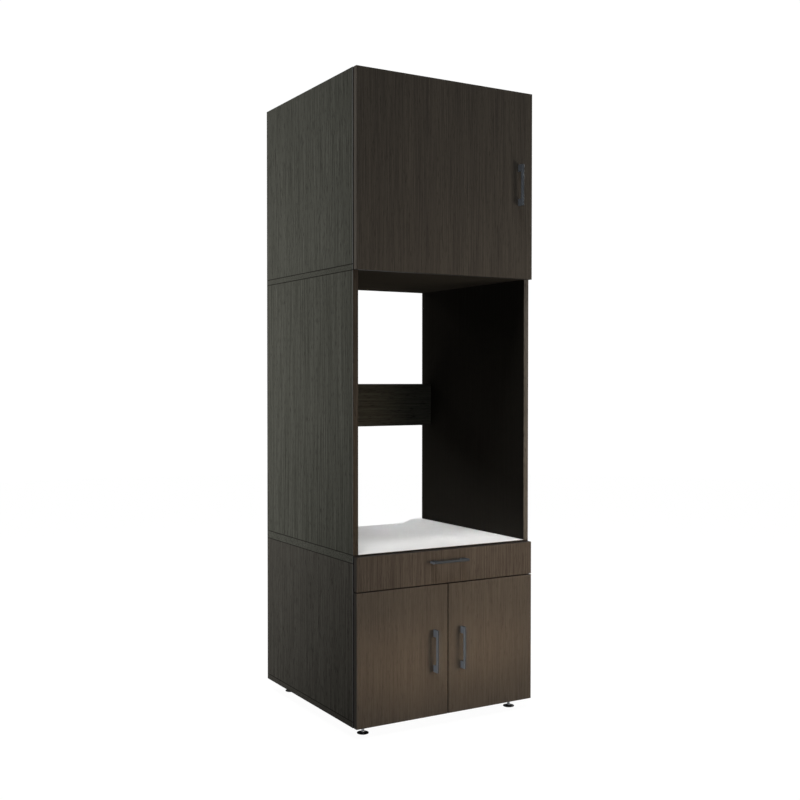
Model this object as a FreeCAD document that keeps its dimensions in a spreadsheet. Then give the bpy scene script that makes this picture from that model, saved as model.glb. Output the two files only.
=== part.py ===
import FreeCAD, Part
import os
import re
from dataclasses import dataclass

import Sketcher

# Tall cabinet for a washing machine: a base unit with two doors and a drawer, an open niche
# with a white deck, and an upper unit with one door. It stands on four levelling feet.
# Frame: origin on the floor under the middle of the cabinet, +Z up, front towards -Y.

# Driving sizes in millimetres
SIZES = {
    # Carcass boards
    "cabinet_width": 652,
    "carcass_depth": 636,
    "board_thickness": 18,
    "deck_thickness": 25,
    "base_side_height": 477,
    "niche_height": 853,
    "upper_side_height": 584,
    "foot_clearance": 32,
    # Thin back panels, held in grooves of the sides
    "panel_thickness": 3,
    "groove_depth": 8,
    "groove_inset": 12,
    "groove_slack": 0.2,
    # White sheet on the deck, and the hose cut-out in the deck's rear edge
    "laminate_thickness": 0.8,
    "laminate_margin": 0.5,
    "cutout_depth": 82,
    "cutout_back_width": 515,
    "cutout_front_width": 356,
    # Cross rail at the back of the niche
    "rail_height": 153,
    "rail_rise": 358,
    "rail_inset": 46,
    # Loose shelf of the upper unit and its pins
    "shelf_setback": 20,
    "shelf_back_gap": 40.9,
    "shelf_slack": 1,
    "shelf_pin_height": 282,
    "shelf_pin_radius": 2.5,
    "shelf_pin_reach": 9,
    "shelf_hole_depth": 9,
    "shelf_hole_slack": 0.1,
    "shelf_pin_inset": 60,
    # Doors and drawer front
    "front_thickness": 18,
    "front_gap": 2.5,
    "front_reveal": 1.5,
    "front_joint": 3,
    "front_bevel": 0.8,
    "drawer_front_drop": 4.5,
    "drawer_front_height": 104.5,
    # Bar handles
    "handle_length": 132,
    "handle_width": 6.5,
    "handle_projection": 23.5,
    "handle_bar_depth": 8,
    "handle_post_length": 22,
    "handle_bevel": 0.6,
    "upper_handle_setback": 53,
    "lower_handle_setback": 49,
    "drawer_handle_drop": 35,
    # Concealed hinges
    "hinge_end_distance": 90,
    "cup_radius": 17.5,
    "cup_depth": 13.5,
    "cup_edge_distance": 3,
    "cup_slack": 0.1,
    "cup_flange_thickness": 1.2,
    "cup_flange_height": 50,
    "cup_flange_width": 20,
    "cup_floor_thickness": 0.7,
    "slot_width": 10,
    "slot_length": 30,
    "pivot_depth": 9,
    "swing_clearance": 0.4,
    "hinge_pin_radius": 1.25,
    "hinge_pin_length": 16,
    "hinge_pin_slack": 0.08,
    "eye_radius": 2,
    "eye_clearance": 0.4,
    "eye_bore_slack": 0.02,
    "arm_thickness": 2,
    "arm_width": 9,
    "arm_reach": 62,
    "neck_clearance": 0.5,
    "neck_run": 7,
    "neck_turn": 3,
    "plate_thickness": 4,
    "plate_width": 16,
    "plate_length": 40,
    "plate_setback": 20,
    "wing_thickness": 2,
    "wing_span": 50,
    "wing_width": 14,
    "wing_setback": 30,
    # Drawer box
    "drawer_length": 470,
    "drawer_side_height": 62,
    "drawer_board": 12,
    "drawer_headroom": 10,
    "drawer_groove_depth": 5,
    "drawer_groove_rise": 8,
    # Roller runners
    "runner_length": 450,
    "runner_space": 12.5,
    "runner_setback": 2,
    "runner_gauge": 1.2,
    "runner_play": 1,
    "runner_side_play": 0.8,
    "runner_lip": 8,
    "channel_rise": 1,
    "ride_flange_width": 8.8,
    "carry_flange_width": 11.5,
    "roller_radius": 6,
    "roller_width": 7,
    "roller_gap": 0.3,
    "roller_end_distance": 12,
    "axle_radius": 2.5,
    "axle_slack": 0.08,
    "axle_play": 0.4,
    # Levelling feet
    "foot_side_inset": 52,
    "foot_front_inset": 34,
    "foot_back_inset": 79,
    "pad_radius": 18.3,
    "pad_rim_height": 2.5,
    "pad_hub_radius": 7.5,
    "pad_hub_height": 4.8,
    "stud_radius": 5,
    "stud_length": 43.2,
    "stud_slack": 0.3,
}

# Planes and lengths that follow from the driving sizes
FOLLOWS = {
    "half_width": "cabinet_width / 2",
    "inner_half": "half_width - board_thickness",
    "overall_depth": "handle_projection + front_thickness + front_gap + carcass_depth",
    "carcass_back": "overall_depth / 2",
    "carcass_front": "carcass_back - carcass_depth",
    "front_back": "carcass_front - front_gap",
    "front_face": "front_back - front_thickness",
    "bottom_top": "foot_clearance + board_thickness",
    "deck_under": "bottom_top + base_side_height",
    "deck_top": "deck_under + deck_thickness",
    "upper_under": "deck_top + niche_height",
    "upper_floor": "upper_under + board_thickness",
    "cabinet_top": "upper_floor + upper_side_height",
    "top_under": "cabinet_top - board_thickness",
    "groove_back": "carcass_depth - groove_inset",
    "groove_front": "groove_back - panel_thickness - groove_slack",
    "panel_half": "inner_half + groove_depth - groove_slack",
    "shelf_under": "upper_floor + shelf_pin_height + shelf_pin_radius",
    "panel_front": "groove_front + groove_slack / 2",
    "shelf_depth": "panel_front - shelf_back_gap - shelf_setback",
    "full_front_width": "cabinet_width - 2 * front_reveal",
    "lower_door_width": "(full_front_width - front_joint) / 2",
    "front_left": "front_reveal - half_width",
    "drawer_front_bottom": "deck_top - drawer_front_drop - drawer_front_height",
    "lower_door_height": "drawer_front_bottom - front_joint - foot_clearance",
    # The door's back edge swings past the carcass with the swing clearance
    "pivot_edge": "sqrt((front_gap + pivot_depth - swing_clearance)^2 - pivot_depth^2)",
    "pivot_plane": "front_back - pivot_depth",
    "cup_from_pivot": "cup_edge_distance + cup_radius - pivot_edge",
    "slot_start": "eye_radius + eye_clearance",
    "slot_floor": "cup_depth - cup_floor_thickness - pivot_depth",
    "neck_dip": "slot_floor - neck_clearance - arm_thickness / 2",
    "plate_top": "board_thickness + plate_thickness",
    "leg_offset": "plate_top + arm_thickness / 2 - front_reveal - pivot_edge",
    "arm_end": "arm_reach + front_gap + pivot_depth",
    "drawer_floor": "deck_under - drawer_headroom - drawer_side_height",
    "drawer_half": "inner_half - runner_space",
    "drawer_inner_half": "drawer_half - drawer_board",
    "drawer_groove_top": "drawer_groove_rise + panel_thickness + groove_slack",
    "runner_front": "carcass_front + runner_setback",
    "roller_axis": "channel_rise + runner_gauge + roller_gap + roller_radius",
    "ride_under": "roller_axis + roller_radius + roller_gap",
    "ride_top": "ride_under + runner_gauge",
    "channel_height": "ride_top + runner_play + runner_gauge - channel_rise",
    "channel_floor_width": "runner_space - runner_gauge - runner_side_play",
    "roller_start": "(runner_space - roller_width) / 2",
    "axle_length": "runner_space - roller_start + axle_play - runner_gauge",
}

doc = FreeCAD.newDocument("WashingMachineCabinet")
sheet = doc.addObject("Spreadsheet::Sheet", "Sizes")
for row, (alias, size) in enumerate(SIZES.items(), start=1):
    sheet.set(f"A{row}", str(size))
    sheet.setAlias(f"A{row}", alias)
doc.recompute()

nodes = []


def expand(text):
    """Write an expression out in cells of the sheet."""

    def cell(match):
        word = match.group(0)
        if word in SIZES:
            return f"Sizes.{word}"
        if word in FOLLOWS:
            return f"({expand(FOLLOWS[word])})"
        return word

    return re.sub(r"[a-z_]+", cell, text)


def number(text):
    """Value of an expression with the sheet as it stands."""
    return float(sheet.evalExpression(expand(text)))


def bind(item, name, text):
    """Tie one property of an object to an expression."""
    item.setExpression(name, expand(text))


def signed(sign, text):
    """The expression, mirrored where the sign is -1."""
    return f"{sign} * ({text})"


def new_body(label, place, turn=FreeCAD.Rotation()):
    """Empty body at a place given by three expressions, turned as given."""
    body = doc.addObject("PartDesign::Body", label)
    body.Label = label
    body.Placement = FreeCAD.Placement(FreeCAD.Vector(), turn)
    for axis, text in zip("xyz", place):
        bind(body, f"Placement.Base.{axis}", text)
    return body


def origin_feature(body, role):
    """One of the body's own origin planes or axes."""
    return next(item for item in body.Origin.OriginFeatures if item.Role == role)


def new_sketch(body, plane, offset="0"):
    """Sketch on an origin plane, moved by offset along +X, +Y or +Z."""
    sketch = body.newObject("Sketcher::SketchObject", f"{body.Name}_sketch")
    sketch.AttachmentSupport = (origin_feature(body, f"{plane}_Plane"), [""])
    sketch.MapMode = "FlatFace"
    along = -1 if plane == "XZ" else 1
    bind(sketch, "AttachmentOffset.Base.z", signed(along, offset))
    return sketch


def bind_point(sketch, geometry, end, place):
    """Tie one point of the sketch to a place measured from the sketch's origin."""
    for kind, text in zip(("DistanceX", "DistanceY"), place):
        index = sketch.addConstraint(
            Sketcher.Constraint(kind, -1, 1, geometry, end, number(text)))
        bind(sketch, f"Constraints[{index}]", text)


def draw_line_chain(sketch, points, closed):
    """Draw straight lines through points, each tied to the sheet."""
    corners = [FreeCAD.Vector(number(x), number(y), 0) for x, y in points]
    ends = corners[1:] + corners[:1] if closed else corners[1:]
    first = sketch.GeometryCount
    count = len(ends)
    for start, end in zip(corners, ends):
        sketch.addGeometry(Part.LineSegment(start, end), False)
    for step in range(count if closed else count - 1):
        following = first + (step + 1) % count
        sketch.addConstraint(
            Sketcher.Constraint("Coincident", first + step, 2, following, 1))
    for step in range(count):
        bind_point(sketch, first + step, 1, points[step])
    if not closed:
        bind_point(sketch, first + count - 1, 2, points[-1])


def draw_circle(sketch, x, y, radius):
    """Draw a circle with its centre and radius tied to the sheet."""
    centre = FreeCAD.Vector(number(x), number(y), 0)
    upright = FreeCAD.Vector(0, 0, 1)
    index = sketch.addGeometry(Part.Circle(centre, upright, number(radius)), False)
    bind_point(sketch, index, 3, (x, y))
    size = sketch.addConstraint(Sketcher.Constraint("Radius", index, number(radius)))
    bind(sketch, f"Constraints[{size}]", radius)


def pad(body, sketch, length):
    """Extrude a sketch along its normal, which is -Y for a sketch on XZ."""
    feature = body.newObject("PartDesign::Pad", f"{body.Name}_pad")
    feature.Profile = sketch
    bind(feature, "Length", length)
    return feature


def pocket(body, sketch, depth):
    """Cut a sketch against its normal: -Z from XY, +Y from XZ, -X from YZ."""
    feature = body.newObject("PartDesign::Pocket", f"{body.Name}_pocket")
    feature.Profile = sketch
    bind(feature, "Length", depth)
    return feature


def bevel_edges(body, base, width, chosen):
    """Take a narrow chamfer off the edges of a feature that pass a test."""
    doc.recompute()
    names = [f"Edge{index}" for index, edge in enumerate(base.Shape.Edges, start=1) if chosen(edge)]
    feature = body.newObject("PartDesign::Chamfer", f"{body.Name}_bevel")
    feature.Base = (base, names)
    bind(feature, "Size", width)
    return feature


def rectangle(x0, y0, x1, y1):
    """Corners of an upright rectangle."""
    return [(x0, y0), (x1, y0), (x1, y1), (x0, y1)]


def extrusion(label, place, plane, outline, length):
    """Body of one constant section, which runs from 0 to length along X, Y or Z."""
    body = new_body(label, place)
    sketch = new_sketch(body, plane, length if plane == "XZ" else "0")
    draw_line_chain(sketch, outline, closed=True)
    pad(body, sketch, length)
    return body


def block(label, corner, size):
    """Plain board with one corner at a place."""
    width, depth, height = size
    return extrusion(label, corner, "XY", rectangle("0", "0", width, depth), height)


def turned(label, place, outline, turn=FreeCAD.Rotation()):
    """Body of revolution about its own Z, from an outline of radius and height."""
    body = new_body(label, place, turn)
    sketch = new_sketch(body, "XZ")
    draw_line_chain(sketch, outline, closed=True)
    feature = body.newObject("PartDesign::Revolution", f"{body.Name}_revolution")
    feature.Profile = sketch
    feature.ReferenceAxis = (origin_feature(body, "Z_Axis"), [""])
    feature.Angle = 360
    return body


def group(label, members):
    """Node of several like pieces."""
    compound = doc.addObject("Part::Compound", label)
    compound.Label = label
    compound.Links = members
    return compound


def along_x(sign):
    """Turn that lays a body's Z axis along X."""
    return FreeCAD.Rotation(FreeCAD.Vector(0, 1, 0), sign * 90)


SIDES = {"left": 1, "right": -1}
CORNERS = {
    "front_left": ("foot_side_inset - half_width", "carcass_front + foot_front_inset"),
    "front_right": ("half_width - foot_side_inset", "carcass_front + foot_front_inset"),
    "back_left": ("foot_side_inset - half_width", "carcass_back - foot_back_inset"),
    "back_right": ("half_width - foot_side_inset", "carcass_back - foot_back_inset"),
}


@dataclass(frozen=True)
class Front:
    """One door or drawer front, with its place, its hinge side and its handle."""

    label: str
    handle: str
    left: str
    bottom: str
    width: str
    height: str
    inward: int
    handle_x: str
    handle_z: str

    @property
    def hung(self):
        """True for a door, whose inward direction is away from its hinges."""
        return self.inward != 0

    def hinge_heights(self):
        """Heights of the two hinges over the front's lower edge."""
        return ("hinge_end_distance", f"{self.height} - hinge_end_distance")

    def from_hinge_edge(self, text):
        """Place across the front, measured from its hinged edge."""
        return text if self.inward > 0 else f"{self.width} - ({text})"


FRONTS = [
    Front("upper_door", "upper_door_handle", "front_left", "upper_under", "full_front_width",
          "(cabinet_top - upper_under)", 1, "full_front_width - upper_handle_setback",
          "(cabinet_top - upper_under) / 2"),
    Front("lower_left_door", "lower_left_handle", "front_left", "foot_clearance",
          "lower_door_width", "lower_door_height", 1,
          "lower_door_width - lower_handle_setback", "lower_door_height / 2"),
    Front("lower_right_door", "lower_right_handle", "front_joint / 2", "foot_clearance",
          "lower_door_width", "lower_door_height", -1,
          "lower_handle_setback", "lower_door_height / 2"),
    Front("drawer_front", "drawer_handle", "front_left", "drawer_front_bottom",
          "full_front_width", "drawer_front_height", 0, "full_front_width / 2",
          "drawer_front_height - drawer_handle_drop"),
]


def side_panel(label, inward, floor, height, grooved):
    """Upright side; the groove for a back panel runs down its inner face."""
    face = [("board_thickness", "0")]
    if grooved:
        bed = "board_thickness - groove_depth"
        face += [("board_thickness", "groove_front"), (bed, "groove_front"),
                 (bed, "groove_back"), ("board_thickness", "groove_back")]
    outline = [("0", "0")] + face + [("board_thickness", "carcass_depth"), ("0", "carcass_depth")]
    outline = [(signed(inward, x), y) for x, y in outline]
    place = (signed(-inward, "half_width"), "carcass_front", floor)
    return extrusion(label, place, "XY", outline, height)


def bore_shelf_holes(body, inward):
    """Drill the shelf pin holes near the front and back of a side."""
    floor_x = "board_thickness" if inward > 0 else "shelf_hole_depth - board_thickness"
    sketch = new_sketch(body, "YZ", floor_x)
    for y in shelf_pin_rows():
        draw_circle(sketch, y, "shelf_pin_height", "shelf_pin_radius + shelf_hole_slack")
    pocket(body, sketch, "shelf_hole_depth")


def shelf_pin_rows():
    """Depths of the two rows of shelf pins behind the carcass front."""
    return ("shelf_setback + shelf_pin_inset", "shelf_setback + shelf_depth - shelf_pin_inset")


def build_base():
    """Bottom board with holes for the feet, the base sides and the base back panel."""
    bottom = block("base_bottom_board", ("-half_width", "carcass_front", "foot_clearance"),
                   ("cabinet_width", "carcass_depth", "board_thickness"))
    holes = new_sketch(bottom, "XY", "board_thickness")
    for x, y in CORNERS.values():
        draw_circle(holes, f"{x} + half_width", f"{y} - carcass_front", "stud_radius + stud_slack")
    pocket(bottom, holes, "board_thickness")
    nodes.append(bottom)
    for side, inward in SIDES.items():
        nodes.append(side_panel(f"base_{side}_side", inward, "bottom_top", "base_side_height", True))
    nodes.append(back_panel("base_back_panel", "bottom_top", "base_side_height"))


def back_panel(label, floor, height):
    """Thin panel that stands in the grooves of two sides."""
    corner = ("-panel_half", "carcass_front + panel_front", floor)
    return block(label, corner, ("2 * panel_half", "panel_thickness", height))


def deck_outline(half, front, back, margin):
    """Plan of the deck with the trapezoid hose cut-out in its rear edge."""
    back_x = f"cutout_back_width / 2 + {margin}"
    front_x = f"cutout_front_width / 2 + {margin}"
    front_y = f"carcass_depth - cutout_depth - {margin}"
    right = [(half, front), (half, back), (back_x, back), (front_x, front_y)]
    left = [(f"-({x})", y) for x, y in reversed(right)]
    return right + left


def build_niche():
    """Deck with its white sheet, the niche sides and the rail behind the machine."""
    nodes.append(extrusion("deck_board", ("0", "carcass_front", "deck_under"), "XY",
                           deck_outline("half_width", "0", "carcass_depth", "0"),
                           "deck_thickness"))
    nodes.append(extrusion("deck_laminate", ("0", "carcass_front", "deck_top"), "XY",
                           deck_outline("inner_half - laminate_margin", "laminate_margin",
                                        "carcass_depth - laminate_margin", "laminate_margin"),
                           "laminate_thickness"))
    for side, inward in SIDES.items():
        nodes.append(side_panel(f"niche_{side}_side", inward, "deck_top", "niche_height", False))
    nodes.append(block("niche_back_rail",
                       ("-inner_half", "carcass_back - rail_inset - board_thickness",
                        "deck_top + rail_rise"),
                       ("2 * inner_half", "board_thickness", "rail_height")))


def build_upper():
    """Upper unit: floor, sides, top, back panel, and a loose shelf on four pins."""
    nodes.append(block("upper_floor_board", ("-half_width", "carcass_front", "upper_under"),
                       ("cabinet_width", "carcass_depth", "board_thickness")))
    pins = []
    for side, inward in SIDES.items():
        panel = side_panel(f"upper_{side}_side", inward, "upper_floor", "upper_side_height", True)
        bore_shelf_holes(panel, inward)
        nodes.append(panel)
        outline = rectangle("0", "0", "shelf_pin_radius", "shelf_hole_depth + shelf_pin_reach")
        for row, y in zip(("front", "back"), shelf_pin_rows()):
            place = (signed(-inward, "inner_half + shelf_hole_depth"), f"carcass_front + {y}",
                     "upper_floor + shelf_pin_height")
            pins.append(turned(f"shelf_pin_{row}_{side}", place, outline, along_x(inward)))
    nodes.append(block("upper_top_board", ("-inner_half", "carcass_front", "top_under"),
                       ("2 * inner_half", "carcass_depth", "board_thickness")))
    nodes.append(back_panel("upper_back_panel", "upper_floor",
                            "upper_side_height - board_thickness"))
    nodes.append(block("upper_shelf",
                       ("shelf_slack - inner_half", "carcass_front + shelf_setback", "shelf_under"),
                       ("2 * (inner_half - shelf_slack)", "shelf_depth", "board_thickness")))
    nodes.append(group("shelf_pins", pins))


def build_front(front):
    """Door or drawer front with softened edges, a door with bores for its hinge cups."""
    body = block(front.label, (front.left, "front_face", front.bottom),
                 (front.width, "front_thickness", front.height))

    def on_large_face(edge):
        """True for the edges round the front face and the back face."""
        return edge.BoundBox.YLength < edge.Length / 2

    bevel_edges(body, body.Tip, "front_bevel", on_large_face)
    if front.hung:
        bores = new_sketch(body, "XZ", "front_thickness - cup_depth")
        across = front.from_hinge_edge("cup_edge_distance + cup_radius")
        for height in front.hinge_heights():
            draw_circle(bores, across, height, "cup_radius + cup_slack")
        pocket(body, bores, "cup_depth")
    nodes.append(body)


def build_handle(front):
    """Bar handle on two square posts."""
    place = (f"{front.left} + {front.handle_x}", "front_face", f"{front.bottom} + {front.handle_z}")
    turn = FreeCAD.Rotation() if front.hung else along_x(1)
    body = new_body(front.handle, place, turn)
    end = "handle_length / 2"
    foot = "handle_length / 2 - handle_post_length"
    face = "-handle_projection"
    gap = "handle_bar_depth - handle_projection"
    outline = [("0", f"-({end})"), (face, f"-({end})"), (face, end), ("0", end),
               ("0", foot), (gap, foot), (gap, f"-({foot})"), ("0", f"-({foot})")]
    sketch = new_sketch(body, "YZ", "-handle_width / 2")
    draw_line_chain(sketch, outline, closed=True)
    bar = pad(body, sketch, "handle_width")
    reach = number("handle_projection")

    def on_grip_face(edge):
        """True for the edges round the face that the hand pulls."""
        return abs(edge.BoundBox.YMax + reach) < reach / 100

    bevel_edges(body, bar, "handle_bevel", on_grip_face)
    nodes.append(body)


def hinge_cup(label, pivot, inward):
    """Cast cup let into the door: slotted for the arm and bored for the pin."""
    body = new_body(label, pivot)
    centre = signed(inward, "cup_from_pivot")
    disc = new_sketch(body, "XZ", "pivot_depth")
    draw_circle(disc, centre, "0", "cup_radius")
    pad(body, disc, "cup_depth")
    flange = new_sketch(body, "XZ", "pivot_depth + cup_flange_thickness")
    wide, tall = "cup_flange_width / 2", "cup_flange_height / 2"
    draw_line_chain(flange, rectangle(f"{centre} - {wide}", f"-({tall})", f"{centre} + {wide}", tall),
                    closed=True)
    pad(body, flange, "cup_flange_thickness")
    slot = new_sketch(body, "XZ", "-slot_floor")
    draw_line_chain(slot, rectangle(signed(inward, "-slot_start"), "-slot_width / 2",
                                    signed(inward, "slot_length - slot_start"), "slot_width / 2"),
                    closed=True)
    pocket(body, slot, "slot_floor + pivot_depth + cup_flange_thickness")
    bore = new_sketch(body, "XY", "hinge_pin_length / 2 + hinge_pin_slack")
    draw_circle(bore, "0", "0", "hinge_pin_radius + hinge_pin_slack")
    pocket(body, bore, "hinge_pin_length + 2 * hinge_pin_slack")
    return body


def hinge_arm(label, pivot, inward):
    """Goose-neck arm: a flat strip carried from the plate round the carcass to the pin's eye."""
    body = new_body(label, pivot)
    route = [("leg_offset", "arm_end"), ("leg_offset", "neck_turn - neck_dip"),
             ("leg_offset - neck_turn", "-neck_dip"), ("neck_run", "-neck_dip"), ("0", "0")]
    path = new_sketch(body, "XY")
    draw_line_chain(path, [(signed(inward, x), y) for x, y in route], closed=False)
    section = new_sketch(body, "XZ", "arm_end")
    half = "arm_thickness / 2"
    leg = signed(inward, "leg_offset")
    draw_line_chain(section, rectangle(f"{leg} - {half}", "-arm_width / 2",
                                       f"{leg} + {half}", "arm_width / 2"), closed=True)
    strip = body.newObject("PartDesign::AdditivePipe", f"{label}_strip")
    strip.Profile = section
    strip.Spine = (path, [""])
    strip.Transition = "Right corner"
    eye = new_sketch(body, "XY", "-arm_width / 2")
    draw_circle(eye, "0", "0", "eye_radius")
    pad(body, eye, "arm_width")
    bore = new_sketch(body, "XY", "arm_width")
    draw_circle(bore, "0", "0", "hinge_pin_radius + eye_bore_slack")
    pocket(body, bore, "2 * arm_width")
    return body


def hinge_plate(label, height, inward):
    """Cross-shaped plate on the inner face of a side, which carries one arm."""
    body = new_body(label, (signed(-inward, "inner_half"), "carcass_front", height))
    for thickness, front, length, span in (
            ("wing_thickness", "wing_setback", "wing_width", "wing_span"),
            ("plate_thickness", "plate_setback", "plate_length", "plate_width")):
        sketch = new_sketch(body, "YZ", "0" if inward > 0 else f"-{thickness}")
        draw_line_chain(sketch, rectangle(front, f"-{span} / 2", f"{front} + {length}",
                                          f"{span} / 2"), closed=True)
        pad(body, sketch, thickness)
    return body


def build_hinges():
    """Two concealed hinges for each door, each turning on one pin."""
    arms, plates, pins = [], [], []
    pin_outline = rectangle("0", "0", "hinge_pin_radius", "hinge_pin_length")
    for front in FRONTS:
        if not front.hung:
            continue
        cups = []
        for index, rise in enumerate(front.hinge_heights(), start=1):
            name = f"{front.label}_hinge_{index}"
            height = f"{front.bottom} + {rise}"
            pivot_x = f"{front.left} + {front.from_hinge_edge('pivot_edge')}"
            pivot = (pivot_x, "pivot_plane", height)
            cups.append(hinge_cup(f"{name}_cup", pivot, front.inward))
            arms.append(hinge_arm(f"{name}_arm", pivot, front.inward))
            plates.append(hinge_plate(f"{name}_plate", height, front.inward))
            foot = (pivot_x, "pivot_plane", f"{height} - hinge_pin_length / 2")
            pins.append(turned(f"{name}_pin", foot, pin_outline))
        nodes.append(group(f"{front.label}_hinge_cups", cups))
    nodes.append(group("hinge_arms", arms))
    nodes.append(group("hinge_plates", plates))
    nodes.append(group("hinge_pins", pins))


def grooved_section():
    """Section of a drawer board: thickness inwards, height up, groove for the bottom."""
    bed = "drawer_board - drawer_groove_depth"
    return [("0", "0"), ("drawer_board", "0"), ("drawer_board", "drawer_groove_rise"),
            (bed, "drawer_groove_rise"), (bed, "drawer_groove_top"),
            ("drawer_board", "drawer_groove_top"), ("drawer_board", "drawer_side_height"),
            ("0", "drawer_side_height")]


def build_drawer_box():
    """Drawer box: two sides and an inner front, grooved for the bottom, and a back."""
    for side, inward in SIDES.items():
        outline = [(signed(inward, x), z) for x, z in grooved_section()]
        place = (signed(-inward, "drawer_half"), "front_back", "drawer_floor")
        nodes.append(extrusion(f"drawer_{side}_side", place, "XZ", outline, "drawer_length"))
    nodes.append(extrusion("drawer_inner_front", ("-drawer_inner_half", "front_back", "drawer_floor"),
                           "YZ", grooved_section(), "2 * drawer_inner_half"))
    bottom_rise = "drawer_floor + drawer_groove_rise + groove_slack / 2"
    bottom_half = "drawer_inner_half + drawer_groove_depth - groove_slack"
    bottom_start = "drawer_board - drawer_groove_depth + groove_slack"
    nodes.append(block("drawer_bottom",
                       (f"-({bottom_half})", f"front_back + {bottom_start}", bottom_rise),
                       (f"2 * ({bottom_half})", f"drawer_length - ({bottom_start})",
                        "panel_thickness")))
    nodes.append(block("drawer_back",
                       ("-drawer_inner_half", "front_back + drawer_length - drawer_board",
                        f"{bottom_rise} + panel_thickness"),
                       ("2 * drawer_inner_half", "drawer_board",
                        "drawer_side_height - drawer_groove_rise - groove_slack / 2 - panel_thickness")))


def cabinet_runner_section():
    """Channel that is screwed to the cabinet side and open towards the drawer."""
    gauge = "runner_gauge"
    return [("0", "0"), ("channel_floor_width", "0"), ("channel_floor_width", gauge), (gauge, gauge),
            (gauge, f"channel_height - {gauge}"), ("runner_lip", f"channel_height - {gauge}"),
            ("runner_lip", "channel_height"), ("0", "channel_height")]


def drawer_runner_section():
    """Angle under the drawer side, with a flange at its top that rides on the front roller."""
    web = "runner_space - runner_gauge"
    carry = "runner_space + carry_flange_width"
    ride = f"{web} - ride_flange_width"
    return [(web, "-runner_gauge"), (carry, "-runner_gauge"), (carry, "0"), ("runner_space", "0"),
            ("runner_space", "ride_top"), (ride, "ride_top"), (ride, "ride_under"),
            (web, "ride_under")]


def build_runners():
    """Runner pair on each side: channel, angle, and a roller on an axle at one end of each."""
    roller_outline = rectangle("axle_radius + axle_slack", "0", "roller_radius", "roller_width")
    axle_outline = rectangle("0", "0", "axle_radius", "axle_length")
    axles = {"front": [], "rear": []}
    for side, inward in SIDES.items():
        wall = signed(-inward, "inner_half")
        for owner, section, rise in (
                ("cabinet", cabinet_runner_section(), "drawer_floor + channel_rise"),
                ("drawer", drawer_runner_section(), "drawer_floor")):
            outline = [(signed(inward, x), z) for x, z in section]
            nodes.append(extrusion(f"{owner}_runner_{side}", (wall, "runner_front", rise), "XZ",
                                   outline, "runner_length"))
        for end, along, start, seat, sign in (
                ("front", "roller_end_distance", "roller_start", "runner_gauge", 1),
                ("rear", "runner_length - roller_end_distance", "runner_space - roller_start",
                 "runner_space - runner_gauge", -1)):
            turn = along_x(sign * inward)
            depth = f"runner_front + {along}"
            height = "drawer_floor + roller_axis"
            nodes.append(turned(f"{end}_roller_{side}",
                                (f"{wall} + {signed(inward, start)}", depth, height),
                                roller_outline, turn))
            axles[end].append(turned(f"{end}_axle_{side}",
                                     (f"{wall} + {signed(inward, seat)}", depth, height),
                                     axle_outline, turn))
    for end, members in axles.items():
        nodes.append(group(f"{end}_roller_axles", members))


def build_feet():
    """Four levelling feet: a stud on a moulded pad screws into the bottom board."""
    pad_outline = [("0", "0"), ("pad_radius", "0"), ("pad_radius", "pad_rim_height"),
                   ("pad_hub_radius", "pad_rim_height"), ("pad_hub_radius", "pad_hub_height"),
                   ("0", "pad_hub_height")]
    stud_outline = rectangle("0", "pad_hub_height", "stud_radius", "pad_hub_height + stud_length")
    for corner, (x, y) in CORNERS.items():
        nodes.append(turned(f"foot_pad_{corner}", (x, y, "0"), pad_outline))
        nodes.append(turned(f"foot_stud_{corner}", (x, y, "0"), stud_outline))


def check_model():
    """Stop if any object failed, a cut removed nothing, or a node isn't a sound solid."""
    for item in doc.Objects:
        if {"Invalid", "Error"} & set(item.State):
            raise RuntimeError(f"{item.Label} failed: {item.State}")
        if item.TypeId == "PartDesign::Pocket":
            if item.Shape.Volume > item.BaseFeature.Shape.Volume * (1 - 1e-9):
                raise RuntimeError(f"{item.Label} cut nothing")
    for node in nodes:
        if node.Shape.isNull() or not node.Shape.isValid() or not node.Shape.Solids:
            raise RuntimeError(f"{node.Label} is not a sound solid")


def write_parts():
    """Write each node's shape to its own file."""
    os.makedirs("parts", exist_ok=True)
    for node in nodes:
        node.Shape.exportStep(f"parts/{node.Label}.step")


build_base()
build_niche()
build_upper()
for each in FRONTS:
    build_front(each)
    build_handle(each)
build_hinges()
build_drawer_box()
build_runners()
build_feet()
doc.recompute()
check_model()
write_parts()
print(f"{len(nodes)} nodes written")
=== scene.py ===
"""Looks of a tall cabinet for a washing machine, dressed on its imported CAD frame.

Metres, +Z up and the front towards -Y. The CAD nodes keep their shapes and get finishes here.
Edge bands, screws, threads, bumpers and moulded feet are surfaces worked out with numpy, and each
of them rides on a CAD body.
"""

import logging
import math
from dataclasses import dataclass, replace
from enum import Enum

import bmesh
import bpy
import numpy as np
from mathutils import Matrix, Vector


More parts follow.
